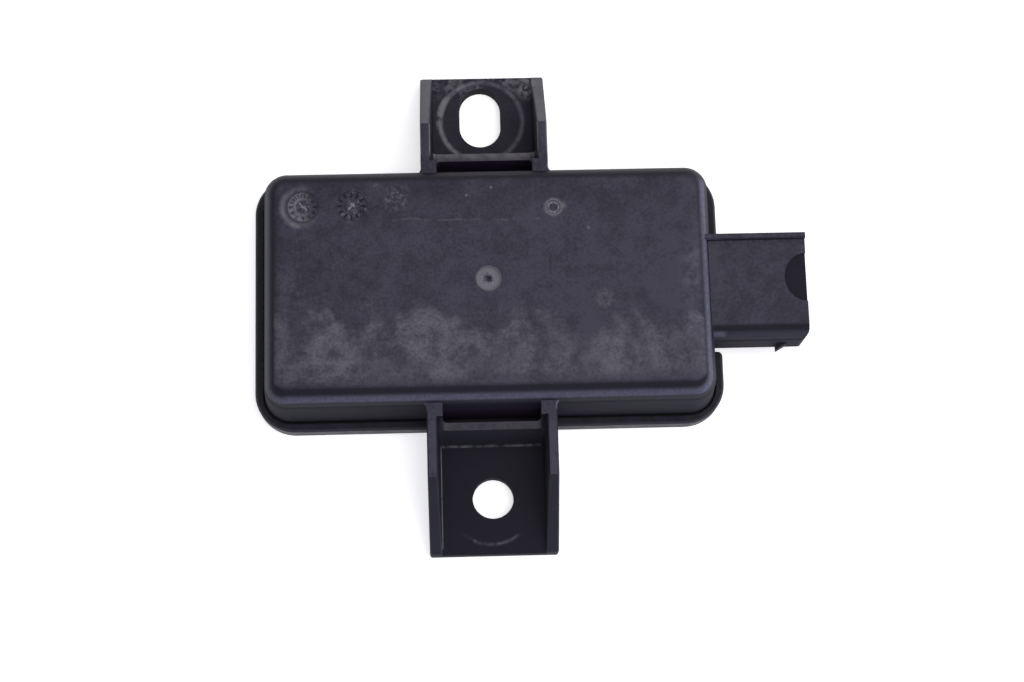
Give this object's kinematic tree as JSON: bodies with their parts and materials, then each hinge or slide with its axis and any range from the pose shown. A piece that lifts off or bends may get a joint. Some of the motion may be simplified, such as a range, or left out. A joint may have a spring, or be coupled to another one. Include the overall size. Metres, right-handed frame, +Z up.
{
  "type": "tyre pressure control unit",
  "caption": "Flat moulded electronics box with ribbed fixing tabs, a shrouded plug socket and a rimmed base cover, which receives tyre pressure readings by radio.",
  "frame": {"origin": "middle of the base cover's underside, on the mounting plane", "axes": "+Z up from the mounting plane to the top face, +X towards the socket's mouth, +Y towards the slotted tab"},
  "size_m": [0.0877, 0.0791, 0.014],
  "materials": {
    "housing_plastic": "moulded satin black, dusty and scuffed",
    "cover_plastic": "moulded satin black",
    "sealant": "cured black sealant",
    "board_laminate": "green solder mask",
    "pin_metal": "tinned",
    "chip_epoxy": "moulded epoxy",
    "crystal_can": "drawn and plated",
    "filter_lid": "plated lid",
    "capacitor_can": "drawn can",
    "ferrite": "sintered core",
    "aerial_strip": "tinned strip",
    "ceramic_chip": "glazed",
    "resistor_chip": "glazed black"
  },
  "bodies": {
    "root": {"base_cover": "cover_plastic", "bus_transceiver": "chip_epoxy", "ceramic_capacitors": "ceramic_chip", "chip_resistors": "resistor_chip", "circuit_board": "board_laminate", "electrolytic_capacitor_1": "capacitor_can", "electrolytic_capacitor_2": "capacitor_can", "housing": "housing_plastic", "loop_antenna": "aerial_strip", "microcontroller": "chip_epoxy", "power_inductor": "ferrite", "protection_diode": "chip_epoxy", "quartz_crystal": "crystal_can", "radio_receiver": "chip_epoxy", "saw_filter": "filter_lid", "seal_bead": "sealant", "terminal_pin_1": "pin_metal", "terminal_pin_2": "pin_metal", "terminal_pin_3": "pin_metal", "terminal_pin_4": "pin_metal", "voltage_regulator": "chip_epoxy"}
  },
  "joints": []
}
